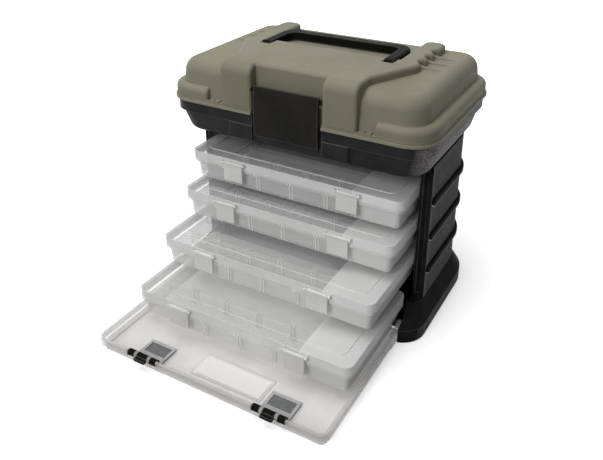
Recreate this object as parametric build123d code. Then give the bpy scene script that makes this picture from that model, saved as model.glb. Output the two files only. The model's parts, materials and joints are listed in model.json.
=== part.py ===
"""Rack tackle box: a hinged lid over a deep tray, four clear utility boxes that slide out below it
as drawers, and a clear drop-down front door that lies open on the floor.

Millimetres, X to the right, Y to the back, Z up. The origin is on the floor under the middle of the lid.
"""
import os

from build123d import *

# Clearances that every fit shares
overrun = 2.0            # how far a cut runs past the face that it opens
pin_clearance = 0.05     # radial room of a pin in its bore
seat_gap = 0.2           # room under a piece that slides or lifts off its seat
side_gap = 0.5           # room beside a piece that turns between two cheeks
knuckle_gap = 0.3        # room between two hinge knuckles

# Utility boxes, which set the width and depth of all that holds them
box_count = 4
box_width = 240.0
box_depth = 127.0
box_height = 31.0
box_room = 7.3           # from the cap of a box to the floor of the next one up
box_closed_front = -89.0
box_hold = 8.5           # how much of the lowest box stays on the floor plate when it is pulled right out
box_pull_shares = (0.0, 0.17, 0.57, 1.0)   # how far each box stands out, from the top one down
box_corner_radius = 8.0
box_wall = 1.7
box_rim_bottom = 18.5
box_rim_top = 21.0
box_body_inset = 3.6
box_draft = 1.4
slot_start = 28.0        # from the partition to the nearest divider slot
slot_pitch = 39.0
slot_count = 4
slot_gap = 2.2
slot_rib = 1.2
slot_rib_depth = 2.2
partition_x = 67.0
partition_wall = 1.6
partition_drop = 3.0     # how far ribs, partition and dividers end below the rim
box_panel_inset = 12.0
box_panel_height = 0.6
divider_piles = 2
divider_thickness = 2.0
divider_margin = 2.0
box_hinge_spread = 70.0
box_pin_radius = 1.2
box_knuckle_radius = 2.3
box_knuckle_width = 10.0
box_latch_spread = 65.0
box_latch_width = 22.0
box_latch_top = 27.6
box_latch_bottom = 8.0
box_latch_thickness = 1.8
box_latch_reach = 2.7    # hinge line in front of the box
box_latch_pin_radius = 1.0
box_latch_barrel = 1.8
box_lug_width = 2.4
box_catch_height = 2.4
box_catch_reach = 1.0

# Cabinet walls
cabinet_side_room = 10.0  # from the rim of a box to the wall beside it
cabinet_front = -47.0
cabinet_corner_radius = 45.0
cabinet_wall = 3.0
post_width = 12.0
post_depth = 10.0
post_groove_start = 2.4  # from the inner face of a post
post_groove_width = 5.4
post_groove_depth = 2.0
post_groove_end = 4.0
rib_reach = 3.2
rib_height = 9.0
rib_setback = 1.0
rib_edge_radius = 2.6
runner_grip = 2.8        # how far the rim of a box reaches over its runner
runner_height = 2.6
runner_tail = 7.0        # how far a runner goes on behind a closed box
runner_stop_height = 2.0
column_room = 9.5        # from a closed box to the rear columns
column_depth = 9.5
column_reach = 19.0      # how far a rear column stands in from the side of the cabinet
column_screw = 6.0       # from the inner face of a rear column to its screws
cabinet_rear_room = 23.0  # from the rear columns to the back of the cabinet

# Base
foot_flare = 10.5
foot_rear_flare = 3.0
foot_front = -93.0
foot_front_radius = 26.0
foot_edge_height = 14.0
foot_top = 28.0
crown_front = -62.0
crown_front_radius = 12.0
floor_top = 7.8
floor_thickness = 3.0
bay_room = 1.6
bay_rear_room = 11.0
toe_room = 0.8
base_rim = 6.0
base_rib = 4.0

# Screws
screw_radius = 1.6
screw_head_radius = 3.2
screw_head_height = 2.0
screw_length = 13.0
screw_recess = 16.0
screw_edge = 2.7         # from the inner face of a post to the tray screw in it

# Front door
door_side_room = 6.0     # how much wider than a box the door is on each side
door_front = -244.0
door_height = 14.0
door_step_height = 7.0
door_step = 4.0
door_wall = 2.2
door_corner_radius = 9.0
door_neck_gap = 2.5      # the door narrows this far in front of the foot
door_neck_room = 3.8
door_pin_inset = 12.0    # hinge line behind the front of the foot
door_pin_z = 12.0
door_pin_radius = 2.4
door_pin_grip = 9.0
door_tail = 5.0          # how far the door goes on behind its hinge line
door_swing_room = 10.5   # from the hinge line to the floor plate of the base
door_ear_radius = 6.0
door_window_half = 38.0
door_window_x = 13.0
door_window_depth = 29.0
door_window_inset = 12.0
door_window_height = 0.5
clip_spread = 70.0
clip_width = 34.0
clip_barrel_radius = 3.3
clip_pin_radius = 1.5
clip_inset = 3.2         # hinge line behind the front of the door
clip_height = 10.5
clip_tab_half = 6.0
clip_tab_length = 6.8
clip_tab_thickness = 3.0
clip_lug = 2.4
clip_lug_root = 3.0      # how far a lug goes down the front wall of the door
pad_width = 30.0
pad_depth = 24.0
pad_height = 1.8
pad_margin = 3.0
pad_frame = 3.0
pad_strip = 8.0          # plain strip along the front of a pad

# Top tray
tray_room = 22.1         # from the cap of the top box to the tray
tray_depth = 23.0
flange_height = 12.0
tray_wall = 3.0
tray_flange_inset = 3.0
tray_ledge_inset = 6.0
tray_front_draft = 7.0
tray_bottom_radius = 7.0
tray_corner_radius = 26.0
boss_margin = 27.5
boss_reach = 2.6
boss_lift = 7.0
boss_edge_radius = 2.0

# Lid
lid_overhang = 11.0      # how far the lid stands out past the cabinet on each side
lid_depth = 192.0
lid_corner_radius = 29.0
lid_wall = 3.0
rim_lip_height = 2.6
rim_height = 5.0
rim_step = 1.3
dome_side_inset = 9.0
dome_front_inset = 7.0
dome_draft = 4.0
dome_height = 41.0
dome_edge_radius = 14.0
bead_inset = 1.6
bead_height = 12.0
bead_edge_radius = 6.5
bead_length = 53.0       # how far a corner bead runs along the front
bead_end_radius = 3.0
plateau_height = 8.0
flare_start = 18.0       # behind the front of the raised panel
flare_length = 52.0
plateau_rear_inset = 24.0
plateau_edge_radius = 3.5
plateau_ceiling = 3.0
flare_radius = 16.0
arm_width = 23.0         # one of the two arms of the raised panel, beside the handle well
arm_end_radius = 9.0
scallop_radius = 8.0
scallop_depth = 5.0
scallop_pitch = 19.0
scallop_first = 2.0
scallop_count = 3
cusp_radius = 2.5
ridge_radius = 3.6
ridge_tip_radius = 0.3
ridge_length = 24.0
leg_width = 35.0
leg_inset = 1.0
leg_edge_radius = 11.0
pocket_inset = 12.0      # front of the raised panel over the latch, from the front of the lid
pocket_depth = 8.0       # back of the latch pocket where the latch turns
well_front = -3.0
well_rear_inset = 12.0
channel_front = -20.0
eye_radius = 1.6
eye_tab_half = 5.5
eye_tab_height = 1.2

# Lid hinge
lid_hinge_reach = 5.0    # hinge line behind the lid
lid_pin_radius = 2.0
lid_knuckle_radius = 4.4
lid_hinge_spread = 80.0
tray_knuckle_width = 22.0
lid_knuckle_width = 12.0

# Handle
handle_width = 148.0
handle_bar = 11.0
handle_leg = 10.0
handle_thickness = 9.0
handle_rear = 40.0
handle_corner_radius = 15.0
handle_edge_radius = 2.2
handle_pivot_y = -14.0
handle_rest_gap = 0.6
handle_room = 1.0        # from a leg of the handle to the wall beside it
handle_pin_radius = 2.4
handle_pin_grip = 5.0    # how far a handle pin reaches into the lid on each side
grip_groove_width = 3.0
grip_groove_depth = 1.0

# Front latch
latch_width = 70.0
latch_height = 51.0
latch_rise = 30.0        # top of the latch above the seam
latch_room = 3.5         # from the latch to the leg beside it
latch_proud = 0.8        # face of the latch in front of the legs
latch_thickness = 3.2
latch_bulge = 1.2
latch_strip = 4.0        # height of the slanted strip along its top
latch_strip_lean = 1.4
latch_pin_inset = 4.4
latch_pin_drop = 4.8
latch_pin_radius = 1.8
latch_barrel_radius = 2.8
latch_pin_grip = 5.0
latch_swing_room = 6.4   # room round the latch pin for the top of the latch to turn
latch_back_gap = 0.4     # from the latch to the recess in the tray behind it
scoop_radius = 26.0
scoop_depth = 2.0
scoop_drop = 5.0         # middle of the thumb scoop below the latch

# Places worked out from the sizes above: widths
box_half = box_width / 2
cabinet_half = box_half + cabinet_side_room + cabinet_wall
split_half = cabinet_half - cabinet_corner_radius
post_inner_half = cabinet_half - post_width
runner_inner_half = box_half - runner_grip
column_inner_half = cabinet_half - column_reach
foot_half = cabinet_half + foot_flare
bay_half = box_half + bay_room
door_half = box_half + door_side_room
door_neck_half = box_half + door_neck_room
toe_inner_half = door_neck_half + toe_room
lid_half = cabinet_half + lid_overhang
bead_end = lid_half - bead_length
leg_inner_half = latch_width / 2 + latch_room
plateau_front_half = leg_inner_half + leg_width
boss_half = leg_inner_half + boss_margin
handle_half = handle_width / 2
well_half = handle_half + handle_room
channel_inner_half = handle_half - handle_leg - handle_room
plateau_rear_half = well_half + arm_width
eye_x = (plateau_front_half + bead_end) / 2

# Depths
box_rear = box_closed_front + box_depth
runner_rear = box_rear + runner_tail
bay_back = box_rear + bay_rear_room
column_front = box_rear + column_room
column_rear = column_front + column_depth
cabinet_back = column_rear + cabinet_rear_room
foot_back = cabinet_back + foot_rear_flare
foot_rear_radius = cabinet_corner_radius + foot_rear_flare
door_pin_y = foot_front + door_pin_inset
door_rear = door_pin_y + door_tail
base_front = door_pin_y + door_swing_room
door_neck_front = foot_front - door_neck_gap
clip_y = door_front + clip_inset
box_travel = box_rear - base_front - box_hold
box_fronts = [box_closed_front - share * box_travel for share in box_pull_shares]
box_hinge_y = box_depth + box_knuckle_radius + knuckle_gap
lid_y = lid_depth / 2
lid_hinge_y = lid_y + lid_hinge_reach
leg_front = leg_inset - lid_y
pocket_front = pocket_inset - lid_y
pocket_wall = pocket_depth - lid_y
plateau_flare_front = pocket_front + flare_start
plateau_flare_rear = plateau_flare_front + flare_length
plateau_rear = lid_y - plateau_rear_inset
well_rear = lid_y - well_rear_inset
latch_face = leg_front - latch_proud
latch_back = latch_face + latch_thickness
latch_recess = latch_back + latch_bulge + latch_back_gap
latch_pin_y = latch_pin_inset - lid_y

# Heights
box_pitch = box_height + box_room
box_floors = [floor_top + seat_gap + box_pitch * (box_count - 1 - i) for i in range(box_count)]
runner_tops = [z + box_rim_bottom - seat_gap for z in box_floors[:-1]]
floor_bottom = floor_top - floor_thickness
tray_bottom = box_floors[0] + box_height + tray_room
tray_ledge = tray_bottom + tray_depth
seam_height = tray_ledge + flange_height
boss_bottom = tray_bottom + boss_lift
rim_top = seam_height + rim_height
dome_top = seam_height + dome_height
plateau_top = dome_top + plateau_height
latch_top = seam_height + latch_rise
latch_bottom = latch_top - latch_height
latch_pin_z = latch_top - latch_pin_drop
pocket_step = latch_pin_z - latch_swing_room
handle_bottom = dome_top + handle_rest_gap
handle_top = handle_bottom + handle_thickness
handle_pivot_z = handle_bottom + handle_thickness / 2

# Screws, as X and Y on the right-hand side
post_middle = cabinet_front + post_depth / 2
column_place = (column_inner_half + column_screw, (column_front + column_rear) / 2)
tray_screw_places = [(post_inner_half + screw_edge, post_middle), column_place]
base_screw_places = [(post_inner_half + post_width / 2, post_middle), column_place]


def block(x0, x1, y0, y1, z0, z1):
    """A box between two corners."""
    return Pos(x0, y0, z0) * Box(x1 - x0, y1 - y0, z1 - z0, align=(Align.MIN,) * 3)


def rod(x0, x1, y, z, radius):
    """A cylinder along X."""
    along = (Align.CENTER, Align.CENTER, Align.MIN)
    return Pos(x0, y, z) * Rot(Y=90) * Cylinder(radius, x1 - x0, align=along)


def post(x, y, z0, z1, radius):
    """A cylinder along Z."""
    along = (Align.CENTER, Align.CENTER, Align.MIN)
    return Pos(x, y, z0) * Cylinder(radius, z1 - z0, align=along)


def plan(half, y0, y1, radius, z):
    """A rounded rectangle in plan, centred on X."""
    return Pos(0, (y0 + y1) / 2, z) * RectangleRounded(2 * half, y1 - y0, radius)


def slab(half, y0, y1, radius, z0, z1):
    """A rounded rectangle in plan, raised from z0 to z1."""
    return extrude(plan(half, y0, y1, radius, z0), z1 - z0)


def mirrored(part):
    """The same piece on the other side of the middle plane."""
    return mirror(part, about=Plane.YZ)


def both_sides(part):
    return part + mirrored(part)


def top_edges(part):
    return part.edges().group_by(Axis.Z)[-1]


def cabinet_plan(half, y0, y1, rear_radius, z):
    """A rectangle in plan with two rounded rear corners."""
    sheet = Pos(0, (y0 + y1) / 2, z) * Rectangle(2 * half, y1 - y0)
    return fillet(sheet.vertices().group_by(Axis.Y)[-1], rear_radius)


def foot_plan(half, y0, y1, rear_radius, front_radius, z):
    """A rectangle in plan with its rear and front corners rounded apart."""
    sheet = cabinet_plan(half, y0, y1, rear_radius, z)
    return fillet(sheet.vertices().group_by(Axis.Y)[0], front_radius)


def cabinet_solid(offset, front, z0, z1):
    """The cabinet's outline, moved out by an offset and raised from z0 to z1."""
    back = cabinet_back + offset
    sheet = cabinet_plan(cabinet_half + offset, front, back, cabinet_corner_radius + offset, z0)
    return extrude(sheet, z1 - z0)


def cabinet_shell():
    """Side walls and back wall with their rounded outer ribs, before they are parted."""
    shell = cabinet_solid(0, cabinet_front, foot_top, tray_bottom)
    for top in runner_tops:
        rib = cabinet_solid(rib_reach, cabinet_front + rib_setback, top - rib_height, top)
        shell += fillet(rib.edges().group_by(Axis.Z)[0] + top_edges(rib), rib_edge_radius)
    return shell - cabinet_solid(
        -cabinet_wall, cabinet_front - overrun, foot_top - overrun, tray_bottom + overrun
    )


def runner(top):
    """The ledge under the rim of one box, with a stop at its rear end."""
    inside = cabinet_half - cabinet_wall / 2
    ledge = block(runner_inner_half, inside, post_middle, runner_rear, top - runner_height, top)
    stop_front = box_rear + seat_gap
    return ledge + block(runner_inner_half, inside, stop_front, runner_rear, top, top + runner_stop_height)


def right_side_wall(shell):
    reach = cabinet_half + rib_reach + overrun
    wall = shell & block(
        split_half, reach, cabinet_front, cabinet_back + rib_reach + overrun, foot_top, tray_bottom
    )
    wall += block(
        post_inner_half, cabinet_half, cabinet_front, cabinet_front + post_depth, foot_top, tray_bottom
    )
    groove_x = post_inner_half + post_groove_start
    wall -= block(
        groove_x, groove_x + post_groove_width, cabinet_front - overrun, cabinet_front + post_groove_depth,
        foot_top + post_groove_end, tray_bottom - post_groove_end
    )
    column = block(column_inner_half, cabinet_half, column_front, column_rear, foot_top, tray_bottom)
    wall += column & cabinet_solid(-cabinet_wall / 2, cabinet_front, foot_top, tray_bottom)
    for top in runner_tops:
        wall += runner(top)
    pilot = screw_radius + pin_clearance
    for x, y in tray_screw_places:
        wall -= post(x, y, tray_bottom - screw_length, tray_bottom + overrun, pilot)
    for x, y in base_screw_places:
        wall -= post(x, y, foot_top - overrun, foot_top + screw_length, pilot)
    return wall


def back_wall(shell):
    return shell & block(
        -split_half, split_half, cabinet_front, cabinet_back + rib_reach + overrun, foot_top, tray_bottom
    )


def base():
    edge = foot_plan(foot_half, foot_front, foot_back, foot_rear_radius, foot_front_radius, 0)
    body = extrude(edge, foot_edge_height)
    shoulder = Pos(0, 0, foot_edge_height) * edge
    crown = foot_plan(
        cabinet_half, crown_front, cabinet_back, cabinet_corner_radius, crown_front_radius, foot_top
    )
    body += loft([shoulder, crown])
    body -= block(
        -bay_half, bay_half, foot_front - overrun, bay_back, floor_top, foot_top + overrun
    )
    body -= block(
        -toe_inner_half, toe_inner_half, foot_front - overrun, base_front, -overrun, foot_top + overrun
    )
    hollow = cabinet_plan(
        bay_half, base_front + base_rim, foot_back - base_rim, foot_rear_radius - base_rim, -overrun
    )
    recess = extrude(hollow, floor_bottom + overrun)
    half_rib = base_rib / 2
    recess -= block(-foot_half, foot_half, -half_rib, half_rib, -overrun, floor_top)
    recess -= block(-half_rib, half_rib, foot_front, foot_back, -overrun, floor_top)
    body -= recess
    for x, y in base_screw_places:
        for side in (x, -x):
            body -= post(side, y, -overrun, screw_recess, screw_head_radius + side_gap)
            body -= post(side, y, screw_recess, foot_top + overrun, screw_radius + pin_clearance)
    pin_end = toe_inner_half + door_pin_grip + side_gap
    bore = rod(toe_inner_half - overrun, pin_end, door_pin_y, door_pin_z, door_pin_radius + pin_clearance)
    return body - both_sides(bore)


def screw(x, y, seat, up):
    """A pan-head screw whose head sits at a height, with its shank up or down from there."""
    if up:
        head = post(x, y, seat - screw_head_height, seat, screw_head_radius)
        return head + post(x, y, seat, foot_top + screw_length - overrun, screw_radius)
    head = post(x, y, seat, seat + screw_head_height, screw_head_radius)
    return head + post(x, y, tray_bottom - screw_length + overrun, seat, screw_radius)


def screws(places, seat, up):
    return Compound([screw(side * x, y, seat, up) for x, y in places for side in (1, -1)])


def tray():
    """The deep tray under the lid, with the latch boss in front and the hinge knuckles behind."""
    flange_half = lid_half - tray_flange_inset
    flange_y = lid_y - tray_flange_inset
    ledge_half = lid_half - tray_ledge_inset
    ledge_y = lid_y - tray_ledge_inset + tray_flange_inset / 2
    bottom_front = -ledge_y + tray_front_draft
    flange = slab(flange_half, -flange_y, flange_y, tray_corner_radius, tray_ledge, seam_height)
    upper = plan(ledge_half, -ledge_y, ledge_y, tray_corner_radius, tray_ledge)
    lower = plan(cabinet_half, bottom_front, cabinet_back, tray_corner_radius, tray_bottom)
    bowl = loft([lower, upper])
    front_edges = [e for e in bowl.edges().group_by(Axis.Z)[0] if e.center().Y < cabinet_front]
    bowl = fillet(front_edges, tray_bottom_radius)
    boss = block(-boss_half, boss_half, -ledge_y - boss_reach, 0, boss_bottom, tray_ledge)
    boss = fillet(boss.edges().filter_by(Axis.Z).group_by(Axis.Y)[0], boss_edge_radius)
    body = flange + bowl + boss
    opened = plan(ledge_half - tray_wall, tray_wall - ledge_y, ledge_y - tray_wall,
                  tray_corner_radius - tray_wall, seam_height + overrun)
    floor = plan(cabinet_half - 2 * tray_wall, bottom_front + 2 * tray_wall, cabinet_back - 2 * tray_wall,
                 tray_corner_radius - tray_wall, tray_bottom + tray_wall)
    body -= loft([floor, opened])
    body -= block(
        -leg_inner_half, leg_inner_half, -lid_y, latch_recess, boss_bottom - overrun, seam_height + overrun
    )
    knuckle_half = tray_knuckle_width / 2
    x0 = lid_hinge_spread - knuckle_half
    x1 = lid_hinge_spread + knuckle_half
    knuckle = rod(x0, x1, lid_hinge_y, seam_height, lid_knuckle_radius)
    knuckle += block(x0, x1, flange_y - tray_wall, lid_hinge_y, seam_height - lid_knuckle_radius, seam_height)
    knuckle -= rod(x0 - overrun, x1 + overrun, lid_hinge_y, seam_height, lid_pin_radius + pin_clearance)
    body += both_sides(knuckle)
    for x, y in tray_screw_places:
        for side in (x, -x):
            body -= post(
                side, y, tray_bottom - overrun, seam_height, screw_radius + pin_clearance
            )
    return body


def lid_hinge_pins():
    half = tray_knuckle_width / 2 + knuckle_gap + lid_knuckle_width
    pin = rod(lid_hinge_spread - half, lid_hinge_spread + half, lid_hinge_y, seam_height, lid_pin_radius)
    return Compound([pin, mirrored(pin)])


def door_hinge_pins():
    start = door_neck_half - door_step
    pin = rod(start, toe_inner_half + door_pin_grip, door_pin_y, door_pin_z, door_pin_radius)
    return Compound([pin, mirrored(pin)])


def dome():
    """The lid's main hood, with its drafted walls and large rounded top edge."""
    low_half = lid_half - dome_side_inset
    low_y = lid_y - dome_front_inset
    low_radius = lid_corner_radius - dome_front_inset
    low = plan(low_half, -low_y, low_y, low_radius, rim_top)
    high = plan(low_half - dome_draft, dome_draft - low_y, low_y - dome_draft, low_radius - dome_draft / 2,
                dome_top)
    hood = loft([low, high])
    return fillet(top_edges(hood), dome_edge_radius)


def plateau_plan():
    """Outline of the raised panel: a front over the latch, then two scalloped arms beside the handle well."""
    half = [
        (plateau_front_half, pocket_front),
        (plateau_front_half, plateau_flare_front),
        (plateau_rear_half, plateau_flare_rear),
        (plateau_rear_half, plateau_rear),
    ]
    other = [(-x, y) for x, y in reversed(half)]
    outline = make_face(Polyline(*half, *other, close=True))
    outline = fillet(
        [v for v in outline.vertices() if plateau_flare_front <= v.Y <= plateau_flare_rear], flare_radius
    )
    well_middle = (well_front + well_rear) / 2
    outline -= Pos(0, well_middle) * Rectangle(2 * well_half, well_rear - well_front)
    outline = fillet(outline.vertices().group_by(Axis.Y)[-1], arm_end_radius)
    smooth = [(v.X, v.Y) for v in outline.vertices()]
    for i in range(scallop_count):
        y = scallop_first + i * scallop_pitch
        x = plateau_rear_half - scallop_depth + scallop_radius
        outline -= Pos(x, y) * Circle(scallop_radius)
        outline -= Pos(-x, y) * Circle(scallop_radius)
    cusps = [v for v in outline.vertices() if all(abs(v.X - x) + abs(v.Y - y) > side_gap for x, y in smooth)]
    return fillet(cusps, cusp_radius)


def plateau():
    low = dome_top - dome_edge_radius
    panel = extrude(Pos(0, 0, low) * plateau_plan(), plateau_top - low)
    panel = fillet(top_edges(panel), plateau_edge_radius)
    channel = block(
        channel_inner_half, well_half, channel_front, well_front + overrun, dome_top, plateau_top + overrun
    )
    return panel - both_sides(channel)


def ridges():
    """The small tapered ridges that run out from the scallops over the hood."""
    along = (Align.CENTER, Align.CENTER, Align.MIN)
    fan = Part()
    for i in range(scallop_count):
        place = Pos(plateau_rear_half - scallop_depth, scallop_first + i * scallop_pitch, dome_top)
        fan += place * Rot(Y=90) * Cone(ridge_radius, ridge_tip_radius, ridge_length, align=along)
    return fan


def leg():
    """One of the two legs that bring the raised panel down the front to the rim."""
    body = block(leg_inner_half, plateau_front_half, leg_front, plateau_flare_front, rim_top, plateau_top)
    front_top = body.edges().filter_by(Axis.X).group_by(Axis.Y)[0].sort_by(Axis.Z)[-1]
    body = fillet(front_top, leg_edge_radius)
    upright = body.edges().filter_by(Axis.Z).group_by(Axis.Y)[0]
    return fillet(upright, plateau_edge_radius)


def corner_beads():
    """The rolled bead on the rim, round both front corners and along the sides to the rear corners."""
    half = lid_half - bead_inset
    depth = lid_y - bead_inset
    bead = slab(half, -depth, depth, lid_corner_radius - bead_inset, rim_top, rim_top + bead_height)
    bead = fillet(top_edges(bead), bead_edge_radius)
    bead_top = rim_top + bead_height
    bead -= block(-bead_end, bead_end, -lid_y, lid_y, rim_top - overrun, bead_top + overrun)
    ends = bead.edges().filter_by(Axis.Z).filter_by(
        lambda e: abs(abs(e.center().X) - bead_end) < bead_end_radius
    )
    return fillet(ends, bead_end_radius)


def lid_shell():
    outer_lip = slab(lid_half, -lid_y, lid_y, lid_corner_radius, seam_height, seam_height + rim_lip_height)
    inner_lip = slab(lid_half - rim_step, rim_step - lid_y, lid_y - rim_step, lid_corner_radius - rim_step,
                     seam_height, rim_top)
    body = outer_lip + inner_lip + dome() + corner_beads() + plateau() + both_sides(leg() + ridges())
    cavity_half = lid_half - dome_side_inset - lid_wall
    cavity_y = lid_y - dome_front_inset - lid_wall
    cavity_radius = lid_corner_radius - dome_front_inset - lid_wall
    low = plan(cavity_half, -cavity_y, cavity_y, cavity_radius, seam_height - overrun)
    high = plan(cavity_half - dome_draft, dome_draft - cavity_y, cavity_y - dome_draft,
                cavity_radius - dome_draft / 2, dome_top - lid_wall)
    cavity = loft([low, high])
    cavity = fillet(top_edges(cavity), dome_edge_radius - lid_wall)
    ceiling_half = channel_inner_half - 2 * lid_wall
    cavity += block(-ceiling_half, ceiling_half, pocket_front + 2 * lid_wall, well_front - 2 * lid_wall,
                    dome_top - 2 * lid_wall, plateau_top - plateau_ceiling)
    body -= cavity
    eye_y = (dome_front_inset + rim_step) / 2 - lid_y
    eye_top = rim_top + eye_tab_height
    tab_x0 = eye_x - eye_tab_half
    tab = block(tab_x0, tab_x0 + 2 * eye_tab_half, rim_step - lid_y, pocket_wall, seam_height, eye_top)
    body += both_sides(tab)
    body -= both_sides(post(eye_x, eye_y, seam_height - overrun, eye_top + overrun, eye_radius))
    liner_half = leg_inner_half + lid_wall
    body += block(-liner_half, liner_half, pocket_front, pocket_front + lid_wall, pocket_step - lid_wall,
                  dome_top - lid_wall)
    body -= block(-leg_inner_half, leg_inner_half, -lid_y - overrun, pocket_wall,
                  seam_height - overrun, pocket_step)
    body -= block(-leg_inner_half, leg_inner_half, -lid_y - overrun, pocket_front,
                  pocket_step, plateau_top + overrun)
    pocket_half = leg_inner_half + latch_pin_grip + side_gap
    body -= rod(-pocket_half, pocket_half, latch_pin_y, latch_pin_z, latch_pin_radius + pin_clearance)
    grip = handle_pin_grip + side_gap
    bore = rod(channel_inner_half - grip, well_half + grip, handle_pivot_y, handle_pivot_z,
               handle_pin_radius + pin_clearance)
    body -= both_sides(bore)
    return body + both_sides(lid_knuckles())


def lid_knuckles():
    """The pair of lid knuckles beside one tray knuckle."""
    inner = tray_knuckle_width / 2 + knuckle_gap
    pair = Part()
    for x0 in (lid_hinge_spread + inner, lid_hinge_spread - inner - lid_knuckle_width):
        x1 = x0 + lid_knuckle_width
        pair += rod(x0, x1, lid_hinge_y, seam_height, lid_knuckle_radius)
        pair += block(x0, x1, lid_y - lid_wall, lid_hinge_y, seam_height, seam_height + lid_knuckle_radius)
    reach = inner + lid_knuckle_width + overrun
    return pair - rod(lid_hinge_spread - reach, lid_hinge_spread + reach, lid_hinge_y, seam_height,
                      lid_pin_radius + pin_clearance)


def handle():
    """A flat U-shaped bail that lies back in its well."""
    inner_half = handle_half - handle_leg
    bar_front = handle_rear - handle_bar
    body = slab(handle_half, handle_pivot_y - handle_rear, handle_rear, handle_corner_radius,
                handle_bottom, handle_top)
    body = fillet(body.edges().group_by(Axis.Z)[0] + top_edges(body), handle_edge_radius)
    opening = slab(inner_half, handle_pivot_y - 2 * handle_rear, bar_front,
                   handle_corner_radius - handle_leg / 2, handle_bottom - overrun, handle_top + overrun)
    body -= opening
    body -= block(
        -handle_width, handle_width, -lid_depth, handle_pivot_y, handle_bottom - overrun, handle_top + overrun
    )
    leg_end = rod(inner_half, handle_half, handle_pivot_y, handle_pivot_z, handle_thickness / 2)
    body += both_sides(leg_end)
    middle = handle_rear - handle_bar / 2
    groove_half = inner_half - handle_leg
    body -= block(-groove_half, groove_half, middle - grip_groove_width / 2, middle + grip_groove_width / 2,
                  handle_top - grip_groove_depth, handle_top + overrun)
    bore = rod(inner_half - overrun, handle_half + overrun, handle_pivot_y, handle_pivot_z,
               handle_pin_radius + 2 * pin_clearance)
    return body - both_sides(bore)


def handle_pins():
    pin = rod(channel_inner_half - handle_pin_grip, well_half + handle_pin_grip, handle_pivot_y,
              handle_pivot_z, handle_pin_radius)
    return Compound([pin, mirrored(pin)])


def front_latch():
    """A gently bowed plate that hangs from its barrel, with a thumb scoop at its lower edge."""
    middle = (latch_top + latch_bottom) / 2
    strip_z = latch_top - latch_strip
    front = latch_face + latch_bulge
    back = latch_back + latch_bulge
    outline = make_face(
        [
            ThreePointArc((front, latch_bottom), (latch_face, middle), (front, strip_z)),
            Polyline((front, strip_z), (front + latch_strip_lean, latch_top), (latch_pin_y, latch_top),
                     (latch_pin_y, latch_pin_z), (back, latch_pin_z)),
            ThreePointArc((back, latch_pin_z), (latch_back, middle), (back, latch_bottom)),
            Line((back, latch_bottom), (front, latch_bottom)),
        ]
    )
    half = latch_width / 2
    plate = extrude(Plane.YZ * outline, half, both=True)
    plate += rod(-half, half, latch_pin_y, latch_pin_z, latch_barrel_radius)
    scoop_y = front - scoop_radius + scoop_depth
    plate -= Pos(0, scoop_y, latch_bottom - scoop_drop) * Sphere(scoop_radius)
    return plate - rod(-half - overrun, half + overrun, latch_pin_y, latch_pin_z,
                       latch_pin_radius + 2 * pin_clearance)


def front_latch_pin():
    half = leg_inner_half + latch_pin_grip
    return rod(-half, half, latch_pin_y, latch_pin_z, latch_pin_radius)


def box_tray():
    """The lower half of a utility box in its own frame: front at Y zero, floor at Z zero."""
    high_half = box_half - box_body_inset
    low_half = high_half - box_draft
    low_inset = box_body_inset + box_draft
    body_radius = box_corner_radius - box_body_inset
    low = plan(low_half, low_inset, box_depth - low_inset, body_radius, 0)
    high = plan(high_half, box_body_inset, box_depth - box_body_inset, body_radius, box_rim_bottom)
    body = loft([low, high])
    body += slab(box_half, 0, box_depth, box_corner_radius, box_rim_bottom, box_rim_top)
    inset = low_inset + box_wall
    inner_radius = body_radius - box_wall
    floor = plan(box_half - inset, inset, box_depth - inset, inner_radius, box_wall)
    mouth_inset = box_body_inset + box_wall
    mouth = plan(
        box_half - mouth_inset, mouth_inset, box_depth - mouth_inset, inner_radius, box_rim_top + overrun
    )
    body -= loft([floor, mouth])
    rib_top = box_rim_top - partition_drop
    seat = mouth_inset - box_wall / 2
    for i in range(slot_count):
        centre = partition_x - slot_start - i * slot_pitch
        for x in (centre - slot_gap / 2 - slot_rib, centre + slot_gap / 2):
            reach = inset + slot_rib_depth
            body += block(x, x + slot_rib, seat, reach, box_wall / 2, rib_top)
            body += block(x, x + slot_rib, box_depth - reach, box_depth - seat, box_wall / 2, rib_top)
    x0 = partition_x - partition_wall / 2
    body += block(x0, x0 + partition_wall, seat, box_depth - seat, box_wall / 2, rib_top)
    knuckle_half = box_knuckle_width / 2
    x0 = box_hinge_spread - knuckle_half
    x1 = box_hinge_spread + knuckle_half
    knuckle = rod(x0, x1, box_hinge_y, box_rim_top, box_knuckle_radius)
    knuckle += block(x0, x1, box_depth - box_wall, box_hinge_y, box_rim_top - box_knuckle_radius, box_rim_top)
    knuckle -= rod(x0 - overrun, x1 + overrun, box_hinge_y, box_rim_top, box_pin_radius + pin_clearance)
    return body + both_sides(knuckle)


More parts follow.
